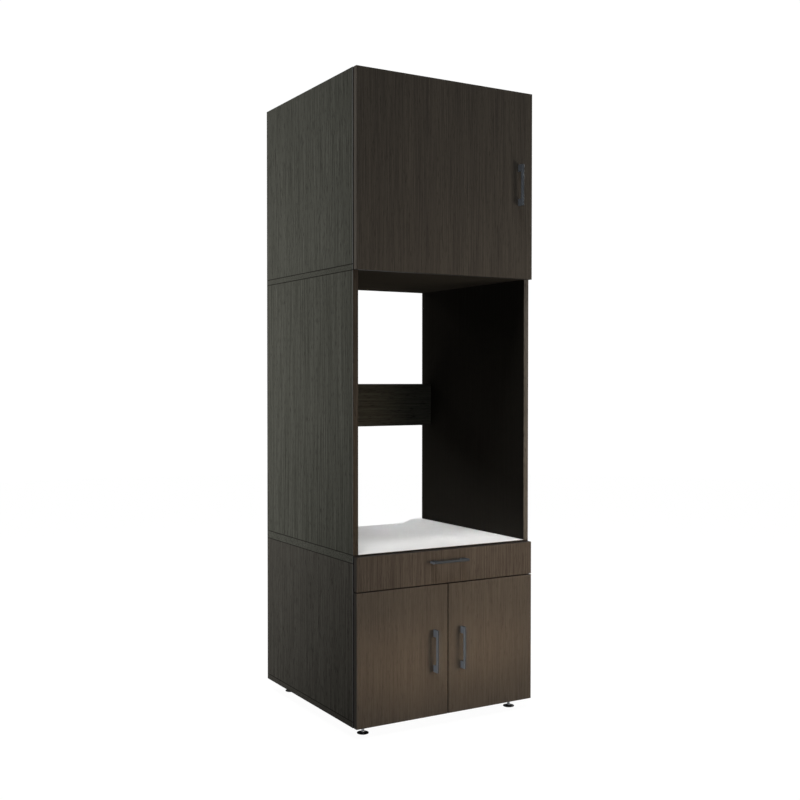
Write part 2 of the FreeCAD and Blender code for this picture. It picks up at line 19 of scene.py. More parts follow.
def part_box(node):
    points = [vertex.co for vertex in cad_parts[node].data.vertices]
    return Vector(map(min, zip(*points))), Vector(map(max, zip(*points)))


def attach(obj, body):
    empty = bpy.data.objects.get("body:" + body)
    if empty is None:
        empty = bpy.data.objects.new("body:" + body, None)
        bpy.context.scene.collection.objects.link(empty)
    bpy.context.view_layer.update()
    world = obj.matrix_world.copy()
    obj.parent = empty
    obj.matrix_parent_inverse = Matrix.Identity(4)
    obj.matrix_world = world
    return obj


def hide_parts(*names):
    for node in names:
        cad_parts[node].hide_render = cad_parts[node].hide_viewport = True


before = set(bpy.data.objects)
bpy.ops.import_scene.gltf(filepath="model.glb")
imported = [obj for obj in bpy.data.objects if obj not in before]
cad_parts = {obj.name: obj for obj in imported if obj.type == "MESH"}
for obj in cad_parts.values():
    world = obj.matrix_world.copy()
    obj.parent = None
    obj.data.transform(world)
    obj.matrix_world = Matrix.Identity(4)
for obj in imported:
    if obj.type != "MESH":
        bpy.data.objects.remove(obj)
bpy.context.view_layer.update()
MM = 0.001
LOG = logging.getLogger("cabinet")
RIGHT, BACK, UP = (1, 0, 0), (0, 1, 0), (0, 0, 1)
FRONT, DOWN = (0, -1, 0), (0, 0, -1)
# Directions of a screw or bumper on the back of a front: across, up and out
ON_BACK = RIGHT, DOWN, BACK
# The part of 0 to 1 that most of a noise fills
NOISE_SPAN = (0.3, 0.7)
# How a board's seed moves its grain along X, Y and Z
SEED_SHIFT = (1.0, 0.37, 0.71)
# A face whose normal has less than this along an axis lies beside that axis
SIDEWAYS = 0.5
# Period of the wave texture at a scale of 1
WAVE_PERIOD = 0.314
# Points nearer than this are one point
MERGE_DISTANCE = 0.001 * MM
WHITE = (1.0, 1.0, 1.0, 1.0)
Names = tuple[str, ...]
Pair = tuple[float, float]
Triple = tuple[float, float, float]
Tree = bpy.types.NodeTree
Socket = bpy.types.NodeSocket
Material = bpy.types.Material


class Axis(Enum):
    """Direction in the object's frame."""

    X = 0
    Y = 1
    Z = 2

    def scale(self, along: float, beside: float = 1.0) -> Triple:
        """One number along the axis and another along the two beside it."""
        return tuple(along if each is self else beside for each in Axis)


class Side(Enum):
    """Side of the cabinet, as the sign of its X."""

    LEFT = -1
    RIGHT = 1


def linear(colour: str) -> tuple[float, float, float, float]:
    """Turn an sRGB hex value into linear light.

    Args:
        colour: six hex digits after a # sign.

    Returns:
        Red, green, blue and alpha from 0 to 1.
    """
    coded = np.array([int(colour[at:at + 2], 16) for at in (1, 3, 5)]) / 255.0
    light = np.where(coded <= 0.04045, coded / 12.92, ((coded + 0.055) / 1.055) ** 2.4)
    return (*light.tolist(), 1.0)


def add_node(tree: Tree, kind: str, inputs: dict | None = None,
             **settings: object) -> bpy.types.Node:
    """Add one node with its settings, and set or link its inputs.

    Args:
        tree: node tree that gets the node.
        kind: Blender's name of the node type, after ShaderNode.
        inputs: value or output socket for each input, by name or number.
        settings: properties of the node itself.

    Returns:
        The new node.
    """
    node = tree.nodes.new(f"ShaderNode{kind}")
    for name, value in settings.items():
        setattr(node, name, value)
    for key, value in (inputs or {}).items():
        if isinstance(value, Socket):
            tree.links.new(value, node.inputs[key])
        else:
            node.inputs[key].default_value = value
    return node


def work_out(operation: str, first: Socket, *more: Socket | float) -> Socket:
    """Result of one step of arithmetic."""
    inputs = dict(enumerate((first, *more)))
    return add_node(first.id_data, "Math", inputs, operation=operation).outputs[0]


def noise(place: Socket, size: float, **more: float) -> Socket:
    """Noise from 0 to 1 with marks of one size in metres, and its other inputs by name."""
    inputs = {"Vector": place, "Scale": 1 / size, **more}
    return add_node(place.id_data, "TexNoise", inputs).outputs["Fac"]


def ramp(value: Socket, span: Pair, start: float = 0.0, end: float = 1.0) -> Socket:
    """Value carried from a span to the range from start to end, and held at both ends."""
    ends = {"From Min": span[0], "From Max": span[1], "To Min": start, "To Max": end}
    return add_node(value.id_data, "MapRange", {"Value": value, **ends}).outputs["Result"]


def blend(share: Socket, first: Socket | tuple, second: tuple) -> Socket:
    """Mix of two colours, with a share of the second: the mix node's inputs 6 and 7."""
    inputs = {"Factor": share, 6: first, 7: second}
    return add_node(share.id_data, "Mix", inputs, data_type="RGBA").outputs[2]


def stretched(place: Socket, scale: Triple, shift: Triple) -> Socket:
    """Coordinates scaled and then moved: a scale under 1 draws marks out along its axis."""
    inputs = {"Vector": place, "Scale": scale, "Location": shift}
    return add_node(place.id_data, "Mapping", inputs).outputs["Vector"]


def coordinate(vector: Socket, axis: Axis) -> Socket:
    """One coordinate of a vector."""
    return add_node(vector.id_data, "SeparateXYZ", {"Vector": vector}).outputs[axis.name]


def facing(tree: Tree, axis: Axis) -> Socket:
    """1 where the surface faces along an axis, either way, and 0 where it lies beside it."""
    normal = add_node(tree, "TexCoord").outputs["Normal"]
    return work_out("ABSOLUTE", coordinate(normal, axis))


@dataclass(frozen=True)
class Look:
    """What a pattern gives its shader: colour, roughness if it varies, and relief.

    The relief is a height from 0 to 1 and what 1 stands for in metres.
    """

    colour: Socket
    gloss: Socket | None
    height: Socket
    depth: float


@dataclass(frozen=True)
class Finish:
    """A surface finish, with the values that are the same all over it."""

    name: str
    base: str
    roughness: float
    metallic: float = 0.0
    specular: float = 0.5
    relief: float = 0.5

    def material(self) -> Material:
        """Make the material.

        Returns:
            A new material with the finish's pattern on its shader.
        """
        made = bpy.data.materials.new(self.name)
        made.use_nodes = True
        made.diffuse_color = linear(self.base)
        tree = made.node_tree
        tree.nodes.clear()
        shader = add_node(tree, "BsdfPrincipled", {
            "Base Color": linear(self.base), "Roughness": self.roughness,
            "Metallic": self.metallic, "Specular IOR Level": self.specular})
        add_node(tree, "OutputMaterial", {"Surface": shader.outputs["BSDF"]})
        look = self.pattern(add_node(tree, "TexCoord").outputs["Object"])
        tree.links.new(look.colour, shader.inputs["Base Color"])
        if look.gloss is not None:
            tree.links.new(look.gloss, shader.inputs["Roughness"])
        bump = add_node(tree, "Bump", {
            "Height": look.height, "Distance": look.depth, "Strength": self.relief})
        tree.links.new(bump.outputs["Normal"], shader.inputs["Normal"])
        return made

    def pattern(self, place: Socket) -> Look:
        """Make the pattern of the finish.

        Args:
            place: object coordinates.

        Returns:
            What goes to the shader.
        """
        raise NotImplementedError


@dataclass(frozen=True)
class Mark:
    """One face of a board in another shade, or a thin line beside that face."""

    axis: Axis
    far: bool
    shade: str
    width: float = 0.1 * MM
    on_face: bool = True
    cover: float = 0.88


@dataclass(frozen=True, kw_only=True)
class WoodLaminate(Finish):
    """Melamine-faced board with a printed and embossed straight wood grain.

    The eye gets fine fibres along the board, faint broad bands and short dark pores, and the
    board's marks: joint lines where it ends, a painted highlight beside its front arris, and
    painted shade on some faces.
    """

    light: str
    pore: str
    grain: Axis = Axis.Z
    seed: float = 0.0
    band_width: float = 38 * MM
    fibre_width: float = 4.6 * MM
    fibre_length: float = 130 * MM
    pore_width: float = 2.6 * MM
    pore_length: float = 26 * MM
    pore_span: Pair = (0.58, 0.72)
    pore_share: float = 0.75
    emboss: float = 0.12 * MM
    band_share: float = 0.5
    tone_reach: float = 0.22
    gloss_change: float = 0.06
    low: Triple = (0.0, 0.0, 0.0)
    high: Triple = (0.0, 0.0, 0.0)
    marks: tuple[Mark, ...] = ()

    def on(self, node: str, **changes: object) -> "WoodLaminate":
        """The finish as one board has it, named after the board and placed by its box.

        Args:
            node: the board's name.
            changes: other values of its own.

        Returns:
            The board's finish.
        """
        low, high = map(tuple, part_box(node))
        return replace(self, name=f"{self.name}.{node}", low=low, high=high, **changes)

    def pattern(self, place: Socket) -> Look:
        """Grain from three stretched noises: bands, fibres and pores.

        Args:
            place: object coordinates.

        Returns:
            What goes to the shader.
        """
        shift = tuple(self.seed * share for share in SEED_SHIFT)
        along, short = (stretched(place, self.grain.scale(width / length), shift)
                        for width, length in ((self.fibre_width, self.fibre_length),
                                              (self.pore_width, self.pore_length)))
        bands = noise(along, self.band_width, Detail=2.0)
        fibres = noise(along, self.fibre_width, Detail=3.0, Roughness=0.6)
        pores = noise(short, self.pore_width, Detail=1.0)
        mixed = work_out("MULTIPLY_ADD", bands, self.band_share, fibres)
        middle = 0.5 + 0.5 * self.band_share
        tone = ramp(mixed, (middle - self.tone_reach, middle + self.tone_reach))
        holes = ramp(pores, self.pore_span, end=self.pore_share)
        colour = blend(tone, linear(self.base), linear(self.light))
        colour = blend(holes, colour, linear(self.pore))
        for mark in self.marks:
            colour = blend(self.mask(place, mark), colour, linear(mark.shade))
        gloss = ramp(fibres, NOISE_SPAN, self.roughness + self.gloss_change,
                     self.roughness - self.gloss_change)
        return Look(colour, gloss, work_out("SUBTRACT", fibres, holes), self.emboss)

    def mask(self, place: Socket, mark: Mark) -> Socket:
        """Where a mark lies: by the distance to its face, and for a line by the normal too.

        Args:
            place: object coordinates.
            mark: the mark.

        Returns:
            Nearly 1 on the mark and 0 elsewhere.
        """
        edge = (self.high if mark.far else self.low)[mark.axis.value]
        inner = edge - mark.width if mark.far else edge + mark.width
        along = coordinate(place, mark.axis)
        strip = ramp(along, ((edge + inner) / 2, inner), mark.cover, 0.0)
        if mark.on_face:
            return strip
        beside = work_out("LESS_THAN", facing(place.id_data, mark.axis), SIDEWAYS)
        return work_out("MULTIPLY", strip, beside)


@dataclass(frozen=True, kw_only=True)
class Speckled(Finish):
    """Moulded, sprayed or pressed surface: a fine even grain in colour, gloss and height."""

    relief: float = 0.4
    light: str
    grain_size: float
    depth: float
    gloss_change: float = 0.05
    mottle_size: float = 60 * MM
    tone_span: Pair = (0.7, 1.3)

    def pattern(self, place: Socket) -> Look:
        """Fine grain over a soft broad mottle, both from noise.

        Args:
            place: object coordinates.

        Returns:
            What goes to the shader.
        """
        fine = noise(place, self.grain_size, Detail=2.0)
        broad = noise(place, self.mottle_size, Detail=1.0)
        tone = ramp(work_out("ADD", fine, broad), self.tone_span)
        gloss = ramp(broad, NOISE_SPAN, self.roughness - self.gloss_change,
                     self.roughness + self.gloss_change)
        colour = blend(tone, linear(self.base), linear(self.light))
        return Look(colour, gloss, fine, self.depth)


@dataclass(frozen=True, kw_only=True)
class CastingWithFlankHighlight(Speckled):
    """Coated die casting whose flanks, left and right, are painted brighter than its front as a
    highlight.
    """

    flank_highlight: str
    flank_highlight_span: Pair = (0.6, 0.8)

    def pattern(self, place: Socket) -> Look:
        """The coat's grain, with a painted highlight where the surface faces left or right.

        Args:
            place: object coordinates.

        Returns:
            What goes to the shader.
        """
        coat = super().pattern(place)
        # Painted highlight where the surface faces left or right
        share = ramp(facing(place.id_data, Axis.X), self.flank_highlight_span)
        return replace(coat, colour=blend(share, coat.colour, linear(self.flank_highlight)))


@dataclass(frozen=True, kw_only=True)
class PressedHardboard(Finish):
    """Hardboard: brown wood fibres pressed flat, with the imprint of a wire screen."""

    light: str
    fibre_size: float = 3 * MM
    fibre_bend: float = 1.5
    fibre_span: Pair = (0.32, 0.68)
    screen_pitch: float = 2.5 * MM
    screen_bend: float = 0.4
    imprint: float = 0.15 * MM

    def pattern(self, place: Socket) -> Look:
        """Fibre flecks in the colour, and two crossed waves as the screen's imprint.

        Args:
            place: object coordinates.

        Returns:
            What goes to the shader.
        """
        flecks = noise(place, self.fibre_size, Detail=4.0, Distortion=self.fibre_bend)
        tone = ramp(flecks, self.fibre_span)
        waves = [add_node(place.id_data, "TexWave", {
            "Vector": place, "Scale": WAVE_PERIOD / self.screen_pitch,
            "Distortion": self.screen_bend}, bands_direction=axis.name).outputs["Fac"]
            for axis in (Axis.X, Axis.Z)]
        colour = blend(tone, linear(self.base), linear(self.light))
        return Look(colour, None, work_out("MULTIPLY", *waves), self.imprint)


@dataclass(frozen=True, kw_only=True)
class BrushedMetal(Finish):
    """Rolled, drawn or plated metal: fine lines along one direction break up its shine."""

    relief: float = 0.3
    dull: str
    lines: Axis = Axis.Z
    line_width: float = 0.5 * MM
    line_length: float = 12 * MM
    depth: float = 0.01 * MM
    rougher: float = 0.08
    smoother: float = 0.05

    def pattern(self, place: Socket) -> Look:
        """Drawing lines from one stretched noise, in colour, gloss and height.

        Args:
            place: object coordinates.

        Returns:
            What goes to the shader.
        """
        scale = self.lines.scale(self.line_width / self.line_length)
        marks = noise(stretched(place, scale, (0, 0, 0)), self.line_width, Detail=2.0)
        tone = ramp(marks, NOISE_SPAN)
        gloss = ramp(marks, NOISE_SPAN, self.roughness + self.rougher,
                     self.roughness - self.smoother)
        colour = blend(tone, linear(self.dull), linear(self.base))
        return Look(colour, gloss, marks, self.depth)


# Matt melamine in a near-black oak print: the carcass boards, greener than the fronts. Real pores
# are too fine to show from the photograph's distance, so here and below they are drawn coarser
CARCASS_OAK = WoodLaminate(
    "melamine_dark_oak_carcass", base="#32322d", light="#4e4e48", pore="#201f1c", roughness=0.85,
    specular=0.015, fibre_width=3.8 * MM, fibre_length=240 * MM, pore_width=2.2 * MM,
    band_share=0.15)
# The carcass print, less green, and darker as painted shade: the base unit
SHADED_BASE_OAK = replace(CARCASS_OAK, name="melamine_dark_oak_base", base="#32302c", light="#474540",
                   pore="#1e1c19")
# The same board in a warmer print: the lower doors
FRONT_OAK = WoodLaminate(
    "melamine_brown_oak_front", base="#433e38", light="#524c45", pore="#322e2a", roughness=0.6,
    specular=0.05, fibre_width=3.0 * MM, fibre_length=160 * MM, pore_width=1.8 * MM,
    pore_share=0.5, band_share=0.25)
# The front print, darker and less brown as painted shade: the upper door
SHADED_UPPER_FRONT_OAK = replace(
    FRONT_OAK, name="melamine_grey_oak_front", base="#37332f", light="#4d4841", pore="#2a2722",
    fibre_length=240 * MM)
# The front print where its fibres stand out most: the drawer front
DRAWER_FRONT_OAK = replace(
    FRONT_OAK, name="melamine_streaked_oak_front", base="#38332e", light="#534c45",
    pore="#2a2622", fibre_width=2.4 * MM, band_share=0.1)
# Painted shade on the edges of the fronts, and how far its dark line reaches onto their faces
FRONT_EDGE_SHADE = "#15110e"
FRONT_LINE_WIDTH = 1.2 * MM
# ABS edging that is glued to the boards' front edges, with a shallow printed grain
EDGE_OAK = WoodLaminate("abs_edging_oak", base="#2f2821", light="#3a342c", pore="#1d1814",
                        roughness=0.6, specular=0.08, emboss=0.05 * MM)
# The same edging, paler, on the right side of the niche
PALE_EDGE = replace(EDGE_OAK, name="abs_edging_pale_oak", base="#4c4842", light="#595550")
# Edging painted black-brown as shade, behind the fronts and under the deck sheet
SHADED_EDGE = replace(EDGE_OAK, name="abs_edging_oak_painted_shade", base="#171412", light="#221d19",
                    pore="#0d0b0a")
# Boards whose edging is lighter than that
LIGHTER_EDGES = {
    "niche_left_side": EDGE_OAK, "upper_shelf": EDGE_OAK, "niche_right_side": PALE_EDGE}
# The one board without an edge band
RAIL = "niche_back_rail"
# Faces inside the niche, painted darker as shade
NICHE_SHADE_FACES = {
    "niche_left_side": Mark(Axis.X, True, "#2a2622"),
    "niche_right_side": Mark(Axis.X, False, "#1f1c19"),
    "upper_floor_board": Mark(Axis.Z, False, "#2f2b26")}
# High-pressure laminate, white with a slight orange peel
WHITE_HPL = Speckled(
    "white_pressed_laminate", base="#e9e9e8", light="#f0f0ef", roughness=0.6, specular=0.1,
    grain_size=1.6 * MM, depth=0.02 * MM)
# Hardboard lacquered dark brown: pressed fibre flecks and a wire screen's imprint show through
HARDBOARD = PressedHardboard(
    "lacquered_hardboard", base="#38332d", light="#4e4840", roughness=0.6, specular=0.2)
# Powder-coated zinc die casting: dark grey with a slight blue, satin; painted highlight on flanks
GUNMETAL = CastingWithFlankHighlight(
    "gunmetal_powder_coat_zinc", base="#34383c", light="#3c4044", flank_highlight="#8a8f96", roughness=0.75,
    metallic=1.0, grain_size=0.8 * MM, depth=0.02 * MM, gloss_change=0.04)
# The same casting with a dimmer painted highlight on its flanks: the upper door's handle
GUNMETAL_DIM_HIGHLIGHT = replace(GUNMETAL, name="gunmetal_dull_powder_coat_zinc", flank_highlight="#676b71")
# Nickel-plated steel of the hinges: bright, with the lines of the rolled strip
NICKEL = BrushedMetal(
    "nickel_plated_steel", base="#c4c1ba", dull="#9f9c95", metallic=1.0, roughness=0.28)
# Zinc-plated turned steel of studs and screws: bright and cool, with turning lines
ZINC = BrushedMetal(
    "zinc_plated_steel", base="#c9ccd0", dull="#8f9398", metallic=1.0, roughness=0.26,
    lines=Axis.X)
# Plain dark melamine of the drawer box, pressed with a fine pearl texture
DRAWER_BOARD = Speckled(
    "drawer_dark_melamine", base="#3e3b37", light="#494641", roughness=0.6, specular=0.15,
    grain_size=1.2 * MM, depth=0.05 * MM)
# Epoxy-coated rolled steel of the runners: off-white, satin, with a slight orange peel
RUNNER_COAT = Speckled(
    "runner_epoxy_coat", base="#d8d6cf", light="#e4e2dc", roughness=0.4, grain_size=1.5 * MM,
    depth=0.03 * MM)
# Turned nylon of the rollers: milky, with a soft shine
NYLON = Speckled(
    "roller_nylon", base="#dedbd0", light="#ebe8de", roughness=0.42, grain_size=1.0 * MM,
    depth=0.01 * MM)
# Injection-moulded polypropylene of the foot pads, black with a fine spark grain
BLACK_PP = Speckled(
    "foot_black_polypropylene", base="#070707", light="#101010", roughness=0.55, specular=0.2,
    grain_size=0.7 * MM, depth=0.05 * MM)
# Cast polyurethane of the door bumpers: black, smooth and slightly glossy
BUMPER_PU = Speckled(
    "bumper_black_polyurethane", base="#0f0f0f", light="#191919", roughness=0.35,
    grain_size=1.0 * MM, depth=0.005 * MM)


@dataclass
class Surface:
    """Points in metres and the quads between them."""

    points: np.ndarray
    quads: np.ndarray

    def placed(self, origin: tuple, across: tuple, up: tuple, out: tuple) -> "Surface":
        """Turn the surface's own X, Y and Z to three directions and move it.

        Args:
            origin: where its own origin goes.
            across: direction of its X.
            up: direction of its Y.
            out: direction of its Z.

        Returns:
            The placed copy.
        """
        basis = np.array([across, up, out], float)
        return Surface(self.points @ basis + np.array(origin, float), self.quads)


def ring_grid(points: np.ndarray) -> Surface:
    """Skin a grid of points whose rows are closed rings.

    Args:
        points: array of rows, columns and 3 coordinates.

    Returns:
        Quads between neighbouring rows and columns, the last column joined to the first.
    """
    rows, columns = points.shape[:2]
    here = np.arange(rows * columns).reshape(rows, columns)
    following = np.roll(here, -1, axis=1)
    quads = np.stack([here[:-1], following[:-1], following[1:], here[1:]], axis=-1)
    return Surface(points.reshape(-1, 3), quads.reshape(-1, 4))


def lathe(profile: np.ndarray, segments: int) -> Surface:
    """Turn a profile about Z: each point is (r cos a, r sin a, h) for angles a round the circle.

    Args:
        profile: radius and height of each point, from one pole to the other.
        segments: points round the circle.

    Returns:
        The turned surface.
    """
    radius, height = profile.T
    angle = np.linspace(0.0, 2 * np.pi, segments, endpoint=False)
    points = np.stack([np.outer(radius, np.cos(angle)), np.outer(radius, np.sin(angle)),
                       np.repeat(height[:, None], segments, axis=1)], axis=-1)
    return ring_grid(points)


def carried(outline: np.ndarray, middle: np.ndarray, length: float) -> Surface:
    """Carry an outline in X and Y along Z, and close both ends to points of its middle.

    Args:
        outline: the outline, an array of points in X and Y.
        middle: the point inside to which the ends close, or one for each of the outline's.
        length: how far it goes along Z.

    Returns:
        The closed bar.
    """
    inside = np.broadcast_to(middle, outline.shape)
    rings = np.stack([inside, outline, outline, inside])
    heights = np.array([0.0, 0.0, length, length])
    level = np.broadcast_to(heights[:, None, None], (len(heights), len(outline), 1))
    return ring_grid(np.concatenate([rings, level], axis=-1))


def arc(centre: Pair, radii: Pair, start: float, end: float, count: int = 5) -> np.ndarray:
    """Part of an ellipse: c + (r cos a, h sin a) for angles a from start to end.

    Args:
        centre: its middle.
        radii: its reach along both coordinates.
        start: first angle in degrees.
        end: last angle.
        count: number of points.

    Returns:
        The points, each with two coordinates.
    """
    angle = np.radians(np.linspace(start, end, count))
    return np.array(centre) + np.array(radii) * np.stack([np.cos(angle), np.sin(angle)], axis=-1)


def dome(radius: float, height: float, count: int = 5) -> Surface:
    """Dome on a flat foot, with a number of points from its rim to its top."""
    rise = arc((0, 0), (radius, height), 0, 90, count)
    return lathe(np.concatenate([[(0, 0)], rise]), segments=24)


@dataclass(frozen=True)
class Screw:
    """Round screw head with a cross recess, by radius, height and recess depth.

    The top is a dome, h (1 - fall t^2) at the share t of the radius, less the recess depth where
    a point lies in one of two crossed bars whose sides fall off smoothly. A bar's half width, half
    length and the width of its falling sides are shares of the radius.
    """

    radius: float
    height: float
    recess: float
    fall: float = 0.45
    half_width: float = 0.26
    half_length: float = 0.72
    edge: float = 0.12
    rows: int = 9
    columns: int = 32

    def bar(self, across: np.ndarray, along: np.ndarray) -> np.ndarray:
        """1 inside one bar of the cross, falling to 0 over its edge."""
        inside = np.clip((self.half_width - np.abs(across)) / self.edge, 0.0, 1.0)
        return inside * np.clip((self.half_length - np.abs(along)) / self.edge, 0.0, 1.0)

    def head(self) -> Surface:
        """Make the head.

        Returns:
            The closed head, from z = 0 up.
        """
        share = np.linspace(0.0, 1.0, self.rows)[:, None]
        angle = np.linspace(0.0, 2 * np.pi, self.columns, endpoint=False)[None, :]
        x, y = share * np.cos(angle), share * np.sin(angle)
        cross = np.maximum(self.bar(x, y), self.bar(y, x))
        level = self.height * (1 - self.fall * share ** 2) - self.recess * cross
        top = np.stack([self.radius * x, self.radius * y, level], axis=-1)
        foot = top[-1:] * (1, 1, 0)
        return ring_grid(np.concatenate([top, foot, np.zeros_like(foot)]))


def put_in_scene(name: str, data: bpy.types.ID) -> bpy.types.Object:
    """Put a new object into the scene.

    Args:
        name: the object's name.
        data: its mesh, light or camera.

    Returns:
        The object.
    """
    made = bpy.data.objects.new(name, data)
    bpy.context.scene.collection.objects.link(made)
    return made


def make_piece(name: str, parts: list[Surface], body: str, material: Material,
               stands_for: Names = (), sharp: float = 35.0) -> None:
    """Make one visible piece and let it ride on a CAD body.

    Args:
        name: the piece's name.
        parts: surfaces that make up its shape, in the object's frame.
        body: CAD body that carries it.
        material: its finish.
        stands_for: CAD nodes that it replaces.
        sharp: edges over this angle in degrees stay sharp.
    """
    starts = np.cumsum([0] + [len(part.points) for part in parts[:-1]])
    points = np.concatenate([part.points for part in parts])
    quads = np.concatenate([part.quads + start for part, start in zip(parts, starts)])
    mesh = bpy.data.meshes.new(name)
    mesh.from_pydata(points.tolist(), [], quads.tolist())
    work = bmesh.new()
    work.from_mesh(mesh)
    bmesh.ops.remove_doubles(work, verts=work.verts, dist=MERGE_DISTANCE)
    bmesh.ops.recalc_face_normals(work, faces=work.faces)
    work.to_mesh(mesh)
    work.free()
    mesh.shade_smooth()
    mesh.set_sharp_from_angle(angle=math.radians(sharp))
    mesh.materials.append(material)
    piece = put_in_scene(name, mesh)
    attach(piece, body)
    if stands_for:
        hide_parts(*stands_for)
    LOG.info("%s: %d faces on %s", name, len(mesh.polygons), body)


def dress(material: Material, *nodes: str) -> None:
    """Give CAD nodes their finish.

    Args:
        material: the finish.
        nodes: the nodes' names.
    """
    for node in nodes:
        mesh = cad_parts[node].data
        mesh.materials.clear()
        mesh.materials.append(material)
        LOG.info("%s: %s", node, material.name)


def middle_of(node: str) -> Vector:
    """Middle of a CAD node's box."""
    low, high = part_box(node)
    return (low + high) / 2


@dataclass
class Carcass:
    """Boards of the cabinet, their edge bands, the white deck sheet and the back panels."""

    band_thickness: float = 0.4 * MM
    band_inset: float = 0.2 * MM
    band_round: float = 0.18 * MM
    seed_step: float = 1.7
    upright: Names = tuple(f"{unit}_{side}_side" for unit in ("base", "niche", "upper")
                           for side in ("left", "right"))
    lying: Names = ("base_bottom_board", "deck_board", "upper_floor_board", "upper_top_board",
                    "upper_shelf")
    joint_shade: str = "#1d1c19"
    joint_width: float = 2 * MM
    # Painted highlight: a pale line beside the front arris, where the edging's rim catches light
    arris_highlight: str = "#66696a"
    arris_highlight_width: float = 2.6 * MM

    def build(self) -> None:
        """Dress every board and glue an edge band to each front edge."""
        for number, node in enumerate((*self.upright, *self.lying, RAIL), start=1):
            oak = SHADED_BASE_OAK if node.startswith("base") else CARCASS_OAK
            finish = oak.on(node, seed=self.seed_step * number, marks=self.marks(node),
                            grain=Axis.Z if node in self.upright else Axis.X)
            if node == RAIL or node in NICHE_SHADE_FACES:
                finish = replace(finish, specular=0.0)
            dress(finish.material(), node)
        dress(WHITE_HPL.material(), "deck_laminate")
        dress(HARDBOARD.material(), "base_back_panel", "upper_back_panel")
        dress(ZINC.material(), "shelf_pins")
        self.edge_bands()

    def marks(self, node: str) -> tuple[Mark, ...]:
        """Marks of one board.

        Args:
            node: the board's name.

        Returns:
            Its joint lines, a painted highlight by its front arris, painted shade on its niche
            face.
        """
        marks = [Mark(axis, far, self.joint_shade, self.joint_width, False)
                 for axis, far in ((Axis.Z, False), (Axis.Z, True), (Axis.Y, True))]
        if node != RAIL:
            # Painted highlight beside the front arris
            marks.insert(0, Mark(Axis.Y, False, self.arris_highlight, self.arris_highlight_width, False))
        # Painted shade on the face inside the niche
        if node in NICHE_SHADE_FACES:
            marks.append(NICHE_SHADE_FACES[node])
        return tuple(marks)

    def edge_bands(self) -> None:
        """Thin rounded strips along the front edges of the boards."""
        for node in self.upright + self.lying:
            low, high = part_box(node)
            across, along = (Axis.X, Axis.Z) if node in self.upright else (Axis.Z, Axis.X)
            breadth, length = (high[axis.value] - low[axis.value] for axis in (across, along))
            start = Vector((low.x, low.y - self.band_thickness / 2, low.z))
            start[across.value] += breadth / 2
            section = self.band_section(breadth - 2 * self.band_inset)
            band = carried(section, section.mean(axis=0), length)
            band = band.placed(start, across.scale(1, 0), BACK, along.scale(1, 0))
            # Edging in painted shade, except on boards whose edging is lighter
            finish = LIGHTER_EDGES.get(node, SHADED_EDGE).on(node, grain=along)
            make_piece(f"{node}_edge_band", [band], "cabinet", finish.material())

    def band_section(self, width: float) -> np.ndarray:
        """Section of an edge band about the origin: four quarter circles at inset corners.

        Args:
            width: size along X.

        Returns:
            Points in X and Y, anticlockwise.
        """
        x, y = width / 2 - self.band_round, self.band_thickness / 2 - self.band_round
        corners = ((x, y), (-x, y), (-x, -y), (x, -y))
        radii = (self.band_round, self.band_round)
        return np.concatenate([arc(corner, radii, 90 * at, 90 * at + 90, count=4)
                               for at, corner in enumerate(corners)])


def front_finish(oak: WoodLaminate, node: str, seed: float,
                 dark_sides: tuple[bool, ...]) -> Material:
    """Finish of a door or drawer front: painted shade on its edges and in a thin line beside each.

    Args:
        oak: the print on the front.
        node: the front's name.
        seed: shift of its grain.
        dark_sides: side edges in painted shade like its top and bottom, True for the right.

    Returns:
        The material.
    """
    # Painted shade on the edges and in a thin line beside each
    faces = [(Axis.Z, False), (Axis.Z, True)] + [(Axis.X, far) for far in dark_sides]
    marks = [Mark(axis, far, FRONT_EDGE_SHADE) for axis, far in faces]
    marks += [Mark(axis, far, FRONT_EDGE_SHADE, FRONT_LINE_WIDTH, False) for axis, far in faces]
    return oak.on(node, seed=seed, marks=tuple(marks)).material()


